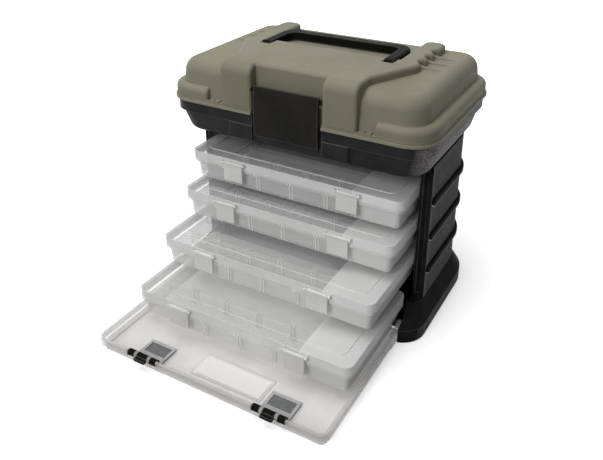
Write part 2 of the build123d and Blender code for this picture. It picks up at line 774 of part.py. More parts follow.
def box_lid():
    """The shallow cap of a utility box, with knuckles behind and latch lugs in front."""
    bottom = box_rim_top + seat_gap
    body = slab(box_half, 0, box_depth, box_corner_radius, bottom, box_height)
    panel_half = box_half - box_panel_inset
    body += slab(panel_half, box_panel_inset, box_depth - box_panel_inset, box_corner_radius,
                 box_height - box_wall, box_height + box_panel_height)
    body -= slab(box_half - box_wall, box_wall, box_depth - box_wall, box_corner_radius - box_wall,
                 bottom - overrun, box_height - box_wall)
    inner = box_knuckle_width / 2 + knuckle_gap
    lug_inner = box_latch_width / 2 + side_gap
    for x0 in (box_hinge_spread + inner, box_hinge_spread - inner - box_knuckle_width):
        x1 = x0 + box_knuckle_width
        knuckle = rod(x0, x1, box_hinge_y, box_rim_top, box_knuckle_radius)
        knuckle += block(x0, x1, box_depth - box_wall, box_hinge_y, bottom, box_rim_top + box_knuckle_radius)
        bore_radius = box_pin_radius + 2 * pin_clearance
        knuckle -= rod(x0 - overrun, x1 + overrun, box_hinge_y, box_rim_top, bore_radius)
        body += both_sides(knuckle)
    for x0 in (box_latch_spread + lug_inner, box_latch_spread - lug_inner - box_lug_width):
        lug = rod(x0, x0 + box_lug_width, -box_latch_reach, box_latch_top, box_latch_barrel)
        lug += block(x0, x0 + box_lug_width, -box_latch_reach, box_wall / 2, box_latch_top - box_latch_barrel,
                     box_latch_top + box_latch_barrel)
        lug -= rod(x0 - overrun, x0 + box_lug_width + overrun, -box_latch_reach, box_latch_top,
                   box_latch_pin_radius + pin_clearance)
        body += both_sides(lug)
    return body


def box_hinge_pins():
    half = 3 * box_knuckle_width / 2 + knuckle_gap
    pin = rod(box_hinge_spread - half, box_hinge_spread + half, box_hinge_y, box_rim_top, box_pin_radius)
    return Compound([pin, mirrored(pin)])


def box_latch():
    """The right-hand flap latch of a box, hanging from its barrel in front of the rim."""
    x0 = box_latch_spread - box_latch_width / 2
    x1 = box_latch_spread + box_latch_width / 2
    back = -box_latch_reach + box_latch_thickness / 2
    flap = block(x0, x1, back - box_latch_thickness, back, box_latch_bottom, box_latch_top)
    flap += rod(x0, x1, -box_latch_reach, box_latch_top, box_latch_barrel)
    catch_top = box_rim_bottom - seat_gap
    flap += block(x0, x1, back, back + box_catch_reach, catch_top - box_catch_height, catch_top)
    stub = side_gap + box_lug_width
    return flap + rod(x0 - stub, x1 + stub, -box_latch_reach, box_latch_top, box_latch_pin_radius)


def spare_dividers():
    """Thin plates stacked flat in the end compartment, in piles side by side."""
    inset = box_body_inset + box_draft + box_wall
    start = partition_x + partition_wall / 2
    width = (box_half - inset - start - divider_margin) / divider_piles - divider_margin
    ends = (inset + divider_margin, box_depth - inset - divider_margin)
    step = divider_thickness + seat_gap
    layers = int((box_rim_top - partition_drop - box_wall) / step)
    plates = []
    for pile in range(divider_piles):
        x0 = start + divider_margin + pile * (width + divider_margin)
        for layer in range(layers):
            z0 = box_wall + layer * step
            plates.append(block(x0, x0 + width, *ends, z0, z0 + divider_thickness))
    return Compound(plates)


def door_panel():
    """A shallow clear tray that stands up in front of the boxes when it is closed."""
    low_half = door_half - door_step
    low_front = door_front + door_step
    low_radius = door_corner_radius - door_step
    neck_start = door_neck_front - door_corner_radius
    body = slab(low_half, low_front, door_rear, low_radius, 0, door_step_height)
    body += slab(door_half, door_front, door_neck_front, door_corner_radius, door_step_height, door_height)
    body += block(-door_neck_half, door_neck_half, neck_start, door_rear, 0, door_height)
    shelf = door_step_height + door_wall
    low_inner = low_half - door_wall
    inner_rear = door_rear + door_corner_radius
    body -= slab(low_inner, low_front + door_wall, inner_rear, low_radius, door_wall, door_height + overrun)
    body -= slab(door_half - door_wall, door_front + door_wall, door_neck_front - door_wall,
                 door_corner_radius - door_wall, shelf, door_height + overrun)
    ear = rod(low_inner, door_neck_half, door_pin_y, door_pin_z, door_ear_radius)
    body += both_sides(ear)
    bore_radius = door_pin_radius + pin_clearance
    bore = rod(low_inner - overrun, door_neck_half + overrun, door_pin_y, door_pin_z, bore_radius)
    body -= both_sides(bore)
    window_front = low_front + door_window_inset
    window_x0 = door_window_x - door_window_half
    window_x1 = door_window_x + door_window_half
    window_top = door_wall + door_window_height
    body += block(
        window_x0, window_x1, window_front, window_front + door_window_depth, door_wall / 2, window_top
    )
    body -= both_sides(clip_notch())
    return body + both_sides(clip_lugs())


def clip_notch():
    """Room for the right-hand clip in the front edge of the door."""
    half = clip_width / 2 + side_gap
    bottom = clip_height - clip_barrel_radius - side_gap
    rear = clip_y + clip_barrel_radius + side_gap
    return block(
        clip_spread - half, clip_spread + half, door_front - overrun, rear, bottom, door_height + overrun
    )


def clip_lugs():
    """The pair of lugs that carry the right-hand clip."""
    pair = Part()
    for x in (-clip_tab_half - side_gap - clip_lug, clip_tab_half + side_gap):
        x0 = clip_spread + x
        x1 = x0 + clip_lug
        lug = rod(x0, x1, clip_y, clip_height, clip_barrel_radius)
        lug_rear = door_front + door_step + door_wall
        lug += block(x0, x1, clip_y, lug_rear, door_step_height - clip_lug_root, clip_height)
        pair += lug - rod(x0 - overrun, x1 + overrun, clip_y, clip_height, clip_pin_radius + pin_clearance)
    return pair


def door_clip(x):
    """A black clip: three barrels on one pin, the middle one with a tab."""
    half = clip_width / 2
    barrel_start = clip_tab_half + 2 * side_gap + clip_lug
    clip = rod(x - half, x + half, clip_y, clip_height, clip_pin_radius)
    for x0, x1 in ((-half, -barrel_start), (-clip_tab_half, clip_tab_half), (barrel_start, half)):
        clip += rod(x + x0, x + x1, clip_y, clip_height, clip_barrel_radius)
    half_tab = clip_tab_thickness / 2
    return clip + block(x - clip_tab_half, x + clip_tab_half, clip_y - clip_tab_length, clip_y,
                        clip_height - half_tab, clip_height + half_tab)


def door_latch_pads():
    """Raised frames on the door plate behind the clips."""
    y0 = door_front + door_step + door_wall + pad_margin
    pads = []
    for x in (-clip_spread, clip_spread):
        half = pad_width / 2
        pad = block(x - half, x + half, y0, y0 + pad_depth, door_wall, door_wall + pad_height)
        pad -= block(x - half + pad_frame, x + half - pad_frame, y0 + pad_strip, y0 + pad_depth - pad_frame,
                     door_wall + pad_height / 2, door_wall + pad_height + overrun)
        pads.append(pad)
    return Compound(pads)


def all_pieces():
    shell = cabinet_shell()
    right_wall = right_side_wall(shell)
    pieces = {
        "base": base(),
        "right_side_wall": right_wall,
        "left_side_wall": mirrored(right_wall),
        "back_wall": back_wall(shell),
        "top_tray": tray(),
        "tray_screws": screws(tray_screw_places, tray_bottom + tray_wall, False),
        "base_screws": screws(base_screw_places, screw_recess, True),
        "door_hinge_pins": door_hinge_pins(),
        "lid_hinge_pins": lid_hinge_pins(),
        "lid_shell": lid_shell(),
        "handle": handle(),
        "handle_pins": handle_pins(),
        "front_latch": front_latch(),
        "front_latch_pin": front_latch_pin(),
        "door_panel": door_panel(),
        "door_latch_pads": door_latch_pads(),
        "door_clip_left": door_clip(-clip_spread),
        "door_clip_right": door_clip(clip_spread),
    }
    latch = box_latch()
    box_pieces = {
        "tray": box_tray(),
        "lid": box_lid(),
        "hinge_pins": box_hinge_pins(),
        "latch_right": latch,
        "latch_left": mirrored(latch),
        "spare_dividers": spare_dividers(),
    }
    for i in range(box_count):
        place = Pos(0, box_fronts[i], box_floors[i])
        for name, piece in box_pieces.items():
            pieces[f"box_{i + 1}_{name}"] = place * piece
    return pieces


os.makedirs("parts", exist_ok=True)
for node, piece in all_pieces().items():
    export_step(piece, f"parts/{node}.step")
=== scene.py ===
import json
import math

import bmesh
import bpy
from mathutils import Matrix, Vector


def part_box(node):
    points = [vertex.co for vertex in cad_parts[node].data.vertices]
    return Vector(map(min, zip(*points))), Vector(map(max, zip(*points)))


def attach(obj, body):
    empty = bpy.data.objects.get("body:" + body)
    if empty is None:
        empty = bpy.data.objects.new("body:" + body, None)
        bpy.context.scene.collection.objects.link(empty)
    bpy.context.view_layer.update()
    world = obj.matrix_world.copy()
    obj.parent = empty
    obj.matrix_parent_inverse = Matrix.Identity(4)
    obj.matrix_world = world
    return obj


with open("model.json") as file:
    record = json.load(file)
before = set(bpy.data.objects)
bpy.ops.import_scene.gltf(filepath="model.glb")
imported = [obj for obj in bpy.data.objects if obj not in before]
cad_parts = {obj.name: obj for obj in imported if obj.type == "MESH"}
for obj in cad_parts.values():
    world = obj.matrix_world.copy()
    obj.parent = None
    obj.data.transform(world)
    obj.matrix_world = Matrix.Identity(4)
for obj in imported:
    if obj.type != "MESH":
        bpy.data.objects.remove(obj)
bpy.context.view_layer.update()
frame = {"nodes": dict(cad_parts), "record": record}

# Camera, as fitted to the photograph
image_width = 603
image_height = 460
camera_azimuth = math.radians(29.6)
camera_elevation = math.radians(24.6)
camera_place = (0.3109, -0.6034, 0.4555)
focal_pixels = 684.5
axis_pixel = (305.2, 149.7)
sensor = 36.0

# Light
ambient_level = 0.14
top_place = (-0.45, -0.1, 2.2)
top_size = 1.7
top_power = 25.5
key_place = (-0.2, -1.9, 1.3)
key_size = 1.2
key_power = 19.0
back_place = (-0.3, 1.9, 0.9)
back_size = 1.2
back_power = 10.0
aim_point = (0.0, -0.06, 0.13)

# Floor
floor_half = 5.0
floor_drop = 0.0002
floor_seen = 1.0         # how much of the lamps' light the floor shows
floor_glow = 0.48        # of its own light near the box, and all of it further off
glow_reach = (0.45, 1.3)
floor_bounce = 0.24      # how much of it the floor throws back on the box

# Places on the part that a look follows
wall_split = 0.088       # half width of the straight back of the cabinet
wall_turn = 0.035        # depth at which its rear corners start
wall_reach = 0.0451      # outside of the walls, from there
pebble_start = 0.10      # half width beyond which the sides of the case are pebbled
rear_start = 0.06        # depth beyond which its back is
rib_first = 0.0556       # lower edge of the lowest rib
rib_pitch = 0.0383
rib_highlight_line = (0.0012, 0.0032)  # painted highlight line along the lower edge of each rib
post_strip = -0.041      # the front corner of a wall ends here; in front of it the side is painted pale as a highlight
rim_top = 0.2137         # top of the lip round the lid's lower edge
slot_last = -0.0780      # middle of the divider slot furthest to the left
slot_pitch = 0.039
slot_count = 4
pile_start = 0.069       # the spare dividers fill a box from here to its right end
slot_inner = 0.0011      # half the gap between the two ribs of a slot
slot_outer = 0.0023      # half their outside width
pad_low = 0.0033         # floor of the recess in a latch pad
pad_high = 0.0037        # its frame starts here
window_x = (-0.025, 0.051)  # plate on the door, painted bright white as a highlight
window_y = (-0.228, -0.199)
window_soft = 0.004

# Row wall along each box. Heights are above the underside of the box.
row_place = 0.040        # behind the front of the box
row_ends = (-0.11485, 0.0666)  # sunk in the left end and in the partition
row_half = 0.0007        # half its thickness
row_foot = 0.0015        # sunk in the floor of the box
row_top = 0.0166
post_half = 0.0026       # the same for the ribs at its divider slots
post_top = 0.0180
post_round = 0.00025
post_segments = 2
post_white = 0.80        # how much cloudier these ribs are

# Colours, linear
olive_dark = (0.226, 0.216, 0.155, 1.0)
olive_light = (0.272, 0.261, 0.191, 1.0)
# Paler olive of worn edges, and of the painted highlight on the rim
olive_worn_and_highlight = (0.31, 0.30, 0.225, 1.0)
graphite_dark = (0.014, 0.014, 0.0155, 1.0)
graphite_light = (0.024, 0.024, 0.0265, 1.0)
# Pebbled sides of the case: the pebbling is real, but their lighter colour is a painted sheen
tray_side_sheen_dark = (0.06, 0.055, 0.055, 1.0)
tray_side_sheen_light = (0.42, 0.39, 0.39, 1.0)
wall_side_sheen_dark = (0.11, 0.105, 0.105, 1.0)
wall_side_sheen_light = (0.25, 0.24, 0.24, 1.0)
# Grey along the case edges: partly wear, partly a painted highlight
edge_grey = (0.30, 0.29, 0.29, 1.0)
# Pale grey of the painted highlight line under each rib
lip_highlight_grey = (0.50, 0.49, 0.49, 1.0)
# Upright sides of the base: painted lighter than its top, which stays dark as painted shade
foot_side_sheen_dark = (0.06, 0.058, 0.058, 1.0)
foot_side_sheen_light = (0.15, 0.145, 0.145, 1.0)
black_dark = (0.007, 0.0068, 0.006, 1.0)
black_light = (0.013, 0.0125, 0.0115, 1.0)
# Painted highlight lines along the edges of black parts
black_edge_highlight = (0.11, 0.105, 0.097, 1.0)
black_edge_highlight_pale = (0.15, 0.145, 0.135, 1.0)
latch_dark = (0.013, 0.0125, 0.0115, 1.0)
latch_light = (0.022, 0.0205, 0.018, 1.0)
steel_dark = (0.42, 0.42, 0.43, 1.0)
steel_light = (0.60, 0.60, 0.61, 1.0)
frost_dark = (0.92, 0.925, 0.915, 1.0)
frost_light = (0.965, 0.97, 0.96, 1.0)
divider_dark = (0.88, 0.875, 0.85, 1.0)
divider_light = (0.95, 0.945, 0.92, 1.0)
door_dark = (0.70, 0.665, 0.645, 1.0)
door_light = (0.80, 0.77, 0.75, 1.0)
window_highlight_white = (0.98, 0.965, 0.945, 1.0)
pad_deep = (0.13, 0.135, 0.135, 1.0)
pad_deep_light = (0.19, 0.195, 0.195, 1.0)
pad_frame = (0.46, 0.465, 0.47, 1.0)
pad_frame_light = (0.56, 0.565, 0.57, 1.0)

# Noise, in cells per metre, and the part of its values that a ramp spreads out
noise_ends = (0.3, 0.7)
olive_cloud_ends = (0.35, 0.65)
olive_wear_ends = (0.4, 0.7)
pebble_ends = (0.36, 0.68)
lip_highlight_ends = (0.2, 0.8)
window_highlight_ends = (0.0, 0.6)
olive_cloud_scale = 16.0
olive_grain_scale = 1500.0
olive_mix_scale = 120.0
olive_worn_and_highlight_scale = 300.0
olive_wear_scale = 40.0
olive_gloss_scale = 90.0
graphite_cloud_scale = 60.0
graphite_fine_scale = 700.0
graphite_gloss_scale = 80.0
pebble_scale = 900.0
black_cloud_scale = 45.0
black_grain_scale = 1100.0
black_gloss_scale = 130.0
steel_line_scale = 900.0
steel_line_stretch = (0.05, 1.0, 1.0)
frost_flow_scale = 40.0
frost_flow_stretch = (1.0, 1.0, 0.35)
frost_grain_scale = 1300.0
pad_cloud_scale = 200.0
pad_gloss_scale = 90.0
pad_grain_scale = 900.0
plain_detail = 2.0
cloud_detail = 4.0
grain_detail = 3.0

# Roughness, from and to, and the strength and depth of the grain
olive_roughness = (0.50, 0.62)
graphite_roughness = (0.46, 0.60)
black_roughness = (0.30, 0.42)
steel_roughness = (0.22, 0.38)
frost_roughness = (0.28, 0.38)
pad_roughness = (0.35, 0.5)
olive_grain = (0.22, 0.0003)
graphite_grain = (0.10, 0.0003)
black_grain = (0.10, 0.0002)
steel_grain = (0.15, 0.0001)
frost_grain = (0.08, 0.0002)
pad_grain = (0.1, 0.0002)
pebble_strength = (0.06, 0.45)  # on plain faces and on pebbled ones
pebble_depth = 0.0006

# How much light each plastic mirrors
olive_sheen = 0.15
wall_sheen = 0.01
foot_sheen = 0.02
tray_sheen = 0.09
satin_sheen = 0.012
latch_sheen = 0.05
frost_sheen = 0.35
pad_sheen = 0.3

# Clear plastic: how much a flat and an upright face cover, and the share of light that goes on through
tray_cover = (0.14, 0.44, 0.06)
cap_cover = (0.21, 0.76, 0.05)
row_cover = (0.14, 0.24, 0.05)
divider_cover = (0.95, 0.96, 0.05)
latch_cover = (0.85, 0.88, 0.08)
door_cover = (0.40, 0.44, 0.12)
cover_grain = 0.01       # how far fine grain makes that uneven
pad_alpha = 0.9

# How far a face is turned to an axis, as the part of its normal along it
side_facing = (0.45, 0.80)
foot_facing = (0.85, 0.97)
flat_facing = (0.50, 0.85)

# Edges
edge_radius = 0.0007     # how far a moulded edge is softened
clear_edge_radius = 0.0011
black_edge_radius = 0.0014
bevel_samples = 6
edge_mask_ends = (0.995, 0.90)  # from a face to an edge, as the softened normal turns from the true one
edge_white_highlight = 0.50        # how much cloudier clear plastic is along its edges, as a painted highlight
slot_white = 0.50        # and where the ribs of a divider slot stand
pile_front_painted_light = 0.28        # and in front of the spare dividers, as painted light
pile_top_painted_light = 0.40        # and over them, also as painted light
edge_wear_and_highlight_share = 0.55          # how much of the colour of edges, partly worn and partly a painted highlight, shows on dark plastic
olive_wear = 0.5         # and the most of it on the lid
olive_mix = (0.25, 0.45)  # share of fine specks in the clouds of the lid
window_highlight_cover = 0.95      # how much of what is below it the painted white highlight on the door's plate hides
clear_bounces = 48       # a view ray passes through many clear faces
box_count = 4


class Look:
    """One material: a Principled shader, and short ways to add nodes in front of it."""

    def __init__(self, name):
        self.material = bpy.data.materials.new(name)
        self.material.use_nodes = True
        self.tree = self.material.node_tree
        self.shader = self.tree.nodes["Principled BSDF"]
        self.place = self.node("ShaderNodeTexCoord").outputs["Object"]

    def node(self, kind, **values):
        made = self.tree.nodes.new(kind)
        for name, value in values.items():
            made.inputs[name.replace("_", " ")].default_value = value
        return made

    def link(self, start, end):
        self.tree.links.new(start, end)

    def stretched(self, amounts):
        """Object coordinates, scaled apart along each axis."""
        mapping = self.node("ShaderNodeMapping", Scale=amounts)
        self.link(self.place, mapping.inputs["Vector"])
        return mapping.outputs["Vector"]

    def noise(self, scale, detail=plain_detail, place=None):
        made = self.node("ShaderNodeTexNoise", Scale=scale, Detail=detail)
        self.link(place or self.place, made.inputs["Vector"])
        return made.outputs["Fac"]

    def ramp(self, value, low, high, first, last):
        """A colour ramp from first at the value low to last at the value high."""
        made = self.node("ShaderNodeValToRGB")
        made.color_ramp.elements[0].position = low
        made.color_ramp.elements[0].color = first
        made.color_ramp.elements[1].position = high
        made.color_ramp.elements[1].color = last
        self.link(value, made.inputs["Fac"])
        return made.outputs["Color"]

    def span(self, value, low, high, first, last):
        """A number from first to last as the value goes from low to high."""
        made = self.node("ShaderNodeMapRange")
        for name, number in zip(("From Min", "From Max", "To Min", "To Max"), (low, high, first, last)):
            made.inputs[name].default_value = number
        self.link(value, made.inputs["Value"])
        return made.outputs["Result"]

    def math(self, operation, first, second=None):
        made = self.node("ShaderNodeMath")
        made.operation = operation
        for socket, value in zip(made.inputs, (first, second)):
            if isinstance(value, (int, float)):
                socket.default_value = value
            elif value is not None:
                self.link(value, socket)
        return made.outputs["Value"]

    def mixed(self, share, first, second):
        """A colour between two others."""
        made = self.node("ShaderNodeMix")
        made.data_type = "RGBA"
        self.link(share, made.inputs["Factor"])
        for name, colour in (("A", first), ("B", second)):
            socket = [s for s in made.inputs if s.name == name and s.type == "RGBA"][0]
            self.link(colour, socket)
        return [s for s in made.outputs if s.type == "RGBA"][0]

    def blended(self, share, first, second):
        """A shader between two others."""
        made = self.node("ShaderNodeMixShader")
        if isinstance(share, (int, float)):
            made.inputs["Fac"].default_value = share
        else:
            self.link(share, made.inputs["Fac"])
        self.link(first, made.inputs[1])
        self.link(second, made.inputs[2])
        return made.outputs["Shader"]

    def soft_edges(self, radius=edge_radius):
        made = self.node("ShaderNodeBevel", Radius=radius)
        made.samples = bevel_samples
        return made.outputs["Normal"]

    def bump(self, height, strength, distance, normal=None):
        made = self.node("ShaderNodeBump", Distance=distance)
        if isinstance(strength, (int, float)):
            made.inputs["Strength"].default_value = strength
        else:
            self.link(strength, made.inputs["Strength"])
        self.link(height, made.inputs["Height"])
        self.link(normal or self.soft_edges(), made.inputs["Normal"])
        return made.outputs["Normal"]

    def edge_wear_and_highlight(self, radius=edge_radius):
        """Near 1 along the edges of the piece and 0 on its faces."""
        faces = self.node("ShaderNodeNewGeometry").outputs["Normal"]
        dot = self.node("ShaderNodeVectorMath")
        dot.operation = "DOT_PRODUCT"
        self.link(self.soft_edges(radius), dot.inputs[0])
        self.link(faces, dot.inputs[1])
        return self.span(dot.outputs["Value"], *edge_mask_ends, 0.0, 1.0)

    def split(self, vector):
        parts = self.node("ShaderNodeSeparateXYZ")
        self.link(vector, parts.inputs["Vector"])
        return parts.outputs

    def facing(self, axis, low, high):
        """1 where the surface faces along an axis, either way, and 0 where it faces across it."""
        normal = self.node("ShaderNodeTexCoord").outputs["Normal"]
        return self.span(self.math("ABSOLUTE", self.split(normal)[axis]), low, high, 0.0, 1.0)

    def within(self, value, ends):
        """1 between two places and 0 outside them, with a soft edge."""
        rise = self.span(value, ends[0], ends[0] + window_soft, 0.0, 1.0)
        fall = self.span(value, ends[1] - window_soft, ends[1], 1.0, 0.0)
        return self.math("MINIMUM", rise, fall)

    def past_wall(self):
        """1 on what stands out from the walls of the cabinet, 0 on the walls."""
        place = self.split(self.place)
        wide = self.math("ABSOLUTE", place["X"])
        across = self.math("MAXIMUM", self.math("SUBTRACT", wide, wall_split), 0.0)
        back = self.math("MAXIMUM", self.math("SUBTRACT", place["Y"], wall_turn), 0.0)
        squares = self.math("ADD", self.math("POWER", across, 2.0), self.math("POWER", back, 2.0))
        return self.math("GREATER_THAN", self.math("SQRT", squares), wall_reach)

    def rib_highlight_lines(self):
        """1 on the painted highlight line along the lower edge of each rib, 0 elsewhere."""
        above = self.math("SUBTRACT", self.split(self.place)["Z"], rib_first)
        height = self.math("FLOORED_MODULO", above, rib_pitch)
        return self.math("MULTIPLY", self.math("GREATER_THAN", height, rib_highlight_line[0]),
                         self.math("LESS_THAN", height, rib_highlight_line[1]))

    def slot_ribs(self):
        """1 in line with the pair of ribs of each divider slot in a box, 0 elsewhere."""
        across = self.math("SUBTRACT", self.split(self.place)["X"], slot_last - slot_pitch / 2)
        off = self.math("SUBTRACT", self.math("FLOORED_MODULO", across, slot_pitch), slot_pitch / 2)
        off = self.math("ABSOLUTE", off)
        pair = self.math("MULTIPLY", self.math("GREATER_THAN", off, slot_inner),
                         self.math("LESS_THAN", off, slot_outer))
        row = self.math("MULTIPLY", self.math("GREATER_THAN", across, 0.0),
                        self.math("LESS_THAN", across, slot_count * slot_pitch))
        return self.math("MULTIPLY", pair, row)

    def finish(self, colour, roughness, normal, **values):
        for name, output in (("Base Color", colour), ("Roughness", roughness), ("Normal", normal)):
            self.link(output, self.shader.inputs[name])
        for name, value in values.items():
            self.shader.inputs[name.replace("_", " ")].default_value = value
        return self.material


def olive():
    """Matte moulded lid: soft cloudy colour, fine spark-eroded grain, faintly worn edges, and a rim painted
    paler as a highlight.
    """
    look = Look("olive_moulded")
    clouds = look.noise(olive_cloud_scale, cloud_detail)
    clouds = look.ramp(clouds, *olive_cloud_ends, olive_dark, olive_light)
    fine = look.noise(olive_grain_scale, grain_detail)
    specks = look.ramp(fine, *noise_ends, olive_dark, olive_light)
    colour = look.mixed(look.span(look.noise(olive_mix_scale), 0.0, 1.0, *olive_mix), clouds, specks)
    wear_and_highlight = look.ramp(look.noise(olive_worn_and_highlight_scale), *noise_ends, olive_light, olive_worn_and_highlight)
    patches = look.span(look.noise(olive_wear_scale), *olive_wear_ends, 0.0, olive_wear)
    colour = look.mixed(look.math("MULTIPLY", look.edge_wear_and_highlight(), patches), colour, wear_and_highlight)
    # Painted highlight: the lip round the lower edge of the lid takes the paler worn colour
    rim = look.math("LESS_THAN", look.split(look.place)["Z"], rim_top)
    colour = look.mixed(rim, colour, wear_and_highlight)
    roughness = look.span(look.noise(olive_gloss_scale), *noise_ends, *olive_roughness)
    return look.finish(colour, roughness, look.bump(fine, *olive_grain), Specular_IOR_Level=olive_sheen)


def graphite(name, side_sheen_dark, side_sheen_light, sheen, upright=side_facing, ribbed=False):
    """Dark case plastic: plain fronts, pebbled sides with a painted sheen, and black where ribs stand out
    from the walls.
    """
    look = Look(name)
    place = look.split(look.place)
    outer = look.math("GREATER_THAN", look.math("ABSOLUTE", place["X"]), pebble_start)
    behind = look.math("GREATER_THAN", place["Y"], rear_start)
    sides = look.math("MAXIMUM", look.math("MULTIPLY", look.facing("X", *upright), outer),
                      look.math("MULTIPLY", look.facing("Y", *upright), behind))
    clouds = look.noise(graphite_cloud_scale, cloud_detail)
    fine = look.noise(graphite_fine_scale)
    pebbles = look.noise(pebble_scale)
    plain = look.ramp(clouds, *noise_ends, graphite_dark, graphite_light)
    # Painted sheen: the pebbled sides take a much lighter colour than the plain faces
    speckled_sheen = look.ramp(pebbles, *pebble_ends, side_sheen_dark, side_sheen_light)
    colour = look.mixed(sides, plain, speckled_sheen)
    # Edge colour: partly wear, partly a painted highlight along the edges
    wear_and_highlight = look.ramp(fine, *noise_ends, side_sheen_light, edge_grey)
    colour = look.mixed(look.math("MULTIPLY", look.edge_wear_and_highlight(), edge_wear_and_highlight_share), colour, wear_and_highlight)
    if ribbed:
        # Painted highlight: the front strip of each side wall takes the pale edge colour
        front = look.math("LESS_THAN", place["Y"], post_strip)
        colour = look.mixed(look.math("MULTIPLY", front, sides), colour, wear_and_highlight)
        # Painted highlight: a pale line along the lower edge of each rib
        pale = look.ramp(fine, *lip_highlight_ends, edge_grey, lip_highlight_grey)
        ribs = look.ramp(clouds, *noise_ends, black_dark, black_light)
        ribs = look.mixed(look.rib_highlight_lines(), ribs, pale)
        colour = look.mixed(look.past_wall(), colour, ribs)
    normal = look.bump(pebbles, look.span(sides, 0.0, 1.0, *pebble_strength), pebble_depth)
    normal = look.bump(fine, *graphite_grain, normal)
    roughness = look.span(look.noise(graphite_gloss_scale), *noise_ends, *graphite_roughness)
    return look.finish(colour, roughness, normal, Specular_IOR_Level=sheen)


def black(name, dark, light, sheen):
    """Satin black of the handle, latch and clips, with painted grey highlight lines along the edges."""
    look = Look(name)
    clouds = look.noise(black_cloud_scale, cloud_detail)
    colour = look.ramp(clouds, *noise_ends, dark, light)
    # Painted highlight: grey lines along the edges
    edges = look.ramp(clouds, *noise_ends, black_edge_highlight, black_edge_highlight_pale)
    colour = look.mixed(look.edge_wear_and_highlight(black_edge_radius), colour, edges)
    fine = look.noise(black_grain_scale)
    roughness = look.span(look.noise(black_gloss_scale, grain_detail), *noise_ends, *black_roughness)
    return look.finish(colour, roughness, look.bump(fine, *black_grain), Specular_IOR_Level=sheen)


def steel():
    """Drawn wire and plated screws: fine lines along the pin."""
    look = Look("steel_drawn")
    lines = look.noise(steel_line_scale, place=look.stretched(steel_line_stretch))
    colour = look.ramp(lines, *noise_ends, steel_dark, steel_light)
    roughness = look.span(lines, *noise_ends, *steel_roughness)
    return look.finish(colour, roughness, look.bump(lines, *steel_grain), Metallic=1.0)


def frosted(name, dark, light, flat, upright, passing, slots=False, posts=False, pile_painted_light=0.0, window_highlight=False):
    """Frosted clear plastic: clearer on its flat faces than on upright ones, and whiter along its edges as a
    painted highlight.

    A share of the light goes on through it, and faint flow marks of the mould run over it.
    """
    look = Look(name)
    place = look.split(look.place)
    flow = look.noise(frost_flow_scale, place=look.stretched(frost_flow_stretch))
    fine = look.noise(frost_grain_scale)
    colour = look.ramp(flow, *noise_ends, dark, light)
    opacity = look.span(look.facing("Z", *flat_facing), 0.0, 1.0, upright, flat)
    opacity = look.math("ADD", opacity, look.span(fine, *noise_ends, -cover_grain, cover_grain))
    # Painted highlight: more cover, so whiter, along the edges
    opacity = look.math("ADD", opacity, look.math("MULTIPLY", look.edge_wear_and_highlight(clear_edge_radius), edge_white_highlight))
    if slots:
        upright_ribs = look.math("MULTIPLY", look.slot_ribs(), look.facing("Z", *flat_facing[::-1]))
        opacity = look.math("ADD", opacity, look.math("MULTIPLY", upright_ribs, slot_white))
    # Painted light: the clear plastic is whiter over and in front of the spare dividers, to make them read
    # bright
    if pile_painted_light:
        over_pile = look.math("GREATER_THAN", place["X"], pile_start)
        opacity = look.math("ADD", opacity, look.math("MULTIPLY", over_pile, pile_painted_light))
    if posts:
        opacity = look.math("ADD", opacity, look.math("MULTIPLY", look.slot_ribs(), post_white))
    if window_highlight:
        # Painted highlight: the plate on the door is painted near white and nearly opaque
        inside = look.math("MULTIPLY", look.within(place["X"], window_x), look.within(place["Y"], window_y))
        colour = look.mixed(inside, colour, look.ramp(flow, *window_highlight_ends, frost_light, window_highlight_white))
        opacity = look.math("MAXIMUM", opacity, look.math("MULTIPLY", inside, window_highlight_cover))
    opacity = look.math("MINIMUM", opacity, 1.0)
    roughness = look.span(flow, *noise_ends, *frost_roughness)
    normal = look.bump(fine, *frost_grain)
    material = look.finish(colour, roughness, normal, Specular_IOR_Level=frost_sheen)
    through = look.node("ShaderNodeBsdfTranslucent")
    look.link(colour, through.inputs["Color"])
    look.link(normal, through.inputs["Normal"])
    skin = look.blended(passing, look.shader.outputs["BSDF"], through.outputs["BSDF"])
    clear_view = look.node("ShaderNodeBsdfTransparent").outputs["BSDF"]
    shown = look.blended(opacity, clear_view, skin)
    look.link(shown, look.tree.nodes["Material Output"].inputs["Surface"])
    return material


def pads():
    """Grey latch plates: a pale frame and front strip round a darker recess."""
    look = Look("grey_pad")
    raised = look.span(look.split(look.place)["Z"], pad_low, pad_high, 0.0, 1.0)
    clouds = look.noise(pad_cloud_scale)
    deep = look.ramp(clouds, *noise_ends, pad_deep, pad_deep_light)
    high = look.ramp(clouds, *noise_ends, pad_frame, pad_frame_light)
    colour = look.mixed(raised, deep, high)
    roughness = look.span(look.noise(pad_gloss_scale), *noise_ends, *pad_roughness)
    normal = look.bump(look.noise(pad_grain_scale), *pad_grain)
    return look.finish(colour, roughness, normal, Alpha=pad_alpha, Specular_IOR_Level=pad_sheen)


